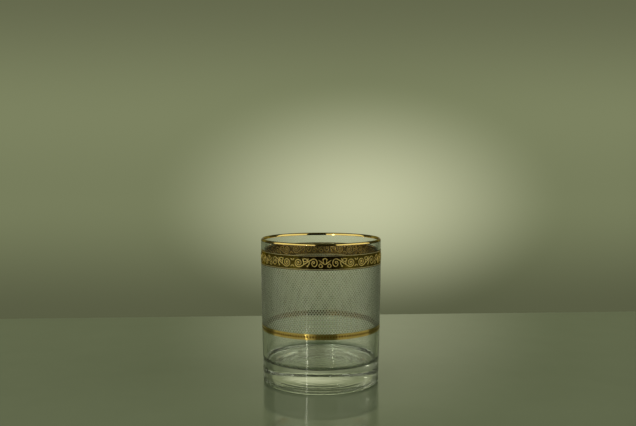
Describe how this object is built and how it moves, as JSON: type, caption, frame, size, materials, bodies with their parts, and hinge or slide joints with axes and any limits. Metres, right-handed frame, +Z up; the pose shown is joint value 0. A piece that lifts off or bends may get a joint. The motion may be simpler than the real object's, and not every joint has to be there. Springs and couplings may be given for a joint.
{
  "type": "whisky tumbler",
  "caption": "Straight-sided glass tumbler with a thick base, gilded lip, raised gold scroll frieze, engraved diagonal net and narrow gold band; holds a short drink.",
  "frame": {"origin": "centre of the foot ring's plane, on the glass's axis", "axes": "+Z up along the axis of the glass, -Y towards the viewer with a palmette of the frieze in the middle, +X to the right"},
  "size_m": [0.0774, 0.0774, 0.092],
  "materials": {
    "crystal": "clear polished glass",
    "bright_gold": "mirror-bright fired gold",
    "satin_gold": "satin raised gold"
  },
  "bodies": {
    "root": {"glass_body": "crystal", "rim_gilding": "bright_gold", "frieze_band": "bright_gold", "frieze_wire_lower": "satin_gold", "frieze_wire_upper": "satin_gold", "lower_band": "bright_gold", "frieze_palmette_1": "satin_gold", "frieze_scroll_right_1": "satin_gold", "frieze_scroll_left_1": "satin_gold", "frieze_palmette_2": "satin_gold", "frieze_scroll_right_2": "satin_gold", "frieze_scroll_left_2": "satin_gold", "frieze_palmette_3": "satin_gold", "frieze_scroll_right_3": "satin_gold", "frieze_scroll_left_3": "satin_gold", "frieze_palmette_4": "satin_gold", "frieze_scroll_right_4": "satin_gold", "frieze_scroll_left_4": "satin_gold", "frieze_palmette_5": "satin_gold", "frieze_scroll_right_5": "satin_gold", "frieze_scroll_left_5": "satin_gold", "frieze_palmette_6": "satin_gold", "frieze_scroll_right_6": "satin_gold", "frieze_scroll_left_6": "satin_gold"}
  },
  "joints": []
}
